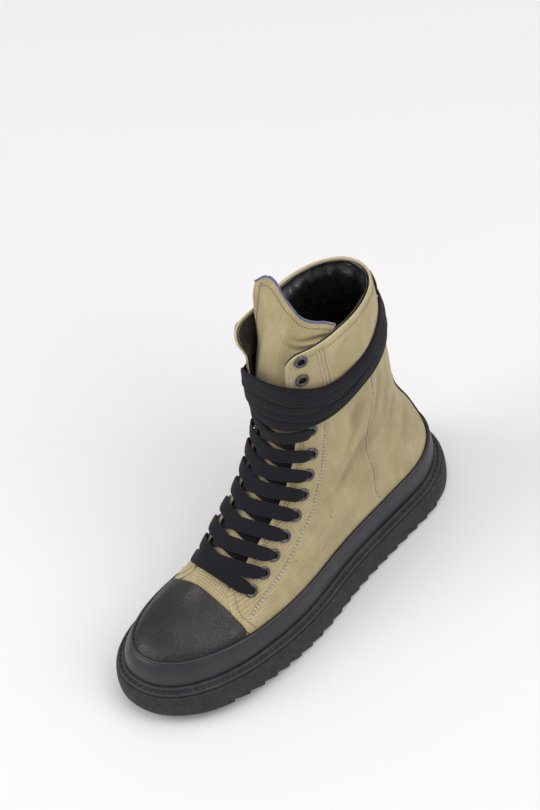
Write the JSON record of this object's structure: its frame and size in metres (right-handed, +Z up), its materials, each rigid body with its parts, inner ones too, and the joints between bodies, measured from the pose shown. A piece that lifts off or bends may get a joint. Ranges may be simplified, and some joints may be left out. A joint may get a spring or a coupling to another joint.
{
  "type": "high-top lace-up sneaker",
  "caption": "Left high-top canvas sneaker with a leather toe cap, a thick notched platform sole and flat laces wrapped round the ankle.",
  "frame": {"origin": "middle of the shoe's box, on the floor", "axes": "+X from heel to toe, +Y to the wearer's left, which is this left shoe's outer side, +Z up"},
  "size_m": [0.302, 0.1046, 0.2651],
  "materials": {
    "sole": "grained charcoal rubber",
    "band": "smooth charcoal rubber with a soft sheen",
    "canvas": "khaki cotton ripstop",
    "cap": "pebbled black leather",
    "lining": "glossy black leather",
    "lace": "woven flat black cotton",
    "eyelet_metal": "gunmetal"
  },
  "bodies": {
    "root": {"outsole": "sole", "welt": "sole", "insole": "lining", "upper": "canvas", "foxing": "band", "toe_cap": "cap", "tongue": "canvas", "laces": "lace", "lace_wraps": "lace", "eyelet_outer_01": "eyelet_metal", "eyelet_inner_01": "eyelet_metal", "eyelet_outer_02": "eyelet_metal", "eyelet_inner_02": "eyelet_metal", "eyelet_outer_03": "eyelet_metal", "eyelet_inner_03": "eyelet_metal", "eyelet_outer_04": "eyelet_metal", "eyelet_inner_04": "eyelet_metal", "eyelet_outer_05": "eyelet_metal", "eyelet_inner_05": "eyelet_metal", "eyelet_outer_06": "eyelet_metal", "eyelet_inner_06": "eyelet_metal", "eyelet_outer_07": "eyelet_metal", "eyelet_inner_07": "eyelet_metal", "eyelet_outer_08": "eyelet_metal", "eyelet_inner_08": "eyelet_metal", "eyelet_outer_09": "eyelet_metal", "eyelet_inner_09": "eyelet_metal", "eyelet_outer_10": "eyelet_metal", "eyelet_inner_10": "eyelet_metal", "eyelet_outer_11": "eyelet_metal", "eyelet_inner_11": "eyelet_metal", "eyelet_outer_12": "eyelet_metal", "eyelet_inner_12": "eyelet_metal"}
  },
  "joints": []
}
